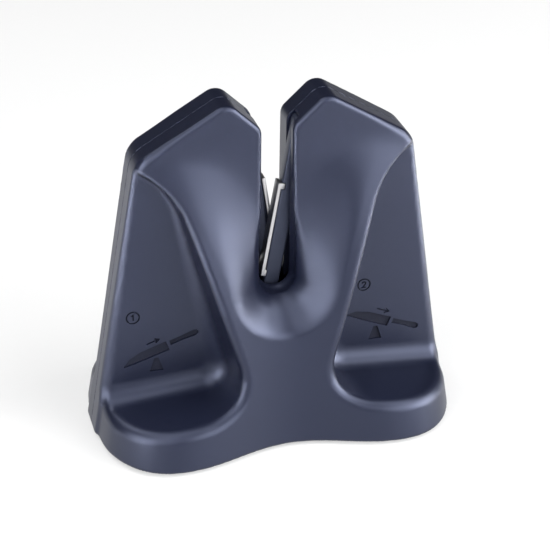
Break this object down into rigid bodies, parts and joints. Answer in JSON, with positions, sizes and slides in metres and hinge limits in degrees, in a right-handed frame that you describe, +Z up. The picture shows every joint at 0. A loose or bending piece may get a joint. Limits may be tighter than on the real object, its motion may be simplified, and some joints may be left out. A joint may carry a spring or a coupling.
{
  "type": "knife sharpener",
  "caption": "Free-standing pull-through knife sharpener: two moulded half shells with horns, finger scoops and a slot hold crossed, sprung jaws faced with metal strips.",
  "frame": {"origin": "on the table, under the middle of the body", "axes": "+X across the body, towards the horn that the front jaw leans to; +Y from the front to the rear, along the knife's stroke; +Z up"},
  "size_m": [0.085, 0.0498, 0.0796],
  "materials": {
    "navy_plastic": "fine-grained satin",
    "jaw_plastic": "smooth satin",
    "bright_steel": "fine ground",
    "spring_steel": "drawn wire",
    "zinc_steel": "zinc plated",
    "white_nylon": "plain moulded",
    "black_rubber": "matt"
  },
  "bodies": {
    "body": {"front_shell": "navy_plastic", "rear_shell": "navy_plastic", "right_pivot_pin": "zinc_steel", "left_pivot_pin": "zinc_steel", "right_torsion_spring": "spring_steel", "left_torsion_spring": "spring_steel", "right_thrust_washer": "white_nylon", "left_thrust_washer": "white_nylon", "upper_left_screw": "zinc_steel", "upper_right_screw": "zinc_steel", "lower_left_screw": "zinc_steel", "lower_right_screw": "zinc_steel", "front_left_foot": "black_rubber", "front_right_foot": "black_rubber", "rear_left_foot": "black_rubber", "rear_right_foot": "black_rubber"},
    "right_jaw_arm": {"right_jaw": "jaw_plastic", "right_jaw_strip": "bright_steel"},
    "left_jaw_arm": {"left_jaw": "jaw_plastic", "left_jaw_strip": "bright_steel"}
  },
  "joints": [
    {"name": "right_jaw_pivot", "type": "hinge", "parent": "body", "child": "right_jaw_arm", "pos_m": [-0.00395, 0, 0.0128], "axis": [0, 1, 0], "range_deg": [0, 8], "stiffness_Nm_per_rad": 0.25, "springref_deg": -20.05, "deforming": ["right_torsion_spring"]},
    {"name": "left_jaw_pivot", "type": "hinge", "parent": "body", "child": "left_jaw_arm", "pos_m": [0.00395, 0, 0.0128], "axis": [0, -1, 0], "range_deg": [0, 8], "stiffness_Nm_per_rad": 0.25, "springref_deg": -20.05, "deforming": ["left_torsion_spring"]}
  ]
}
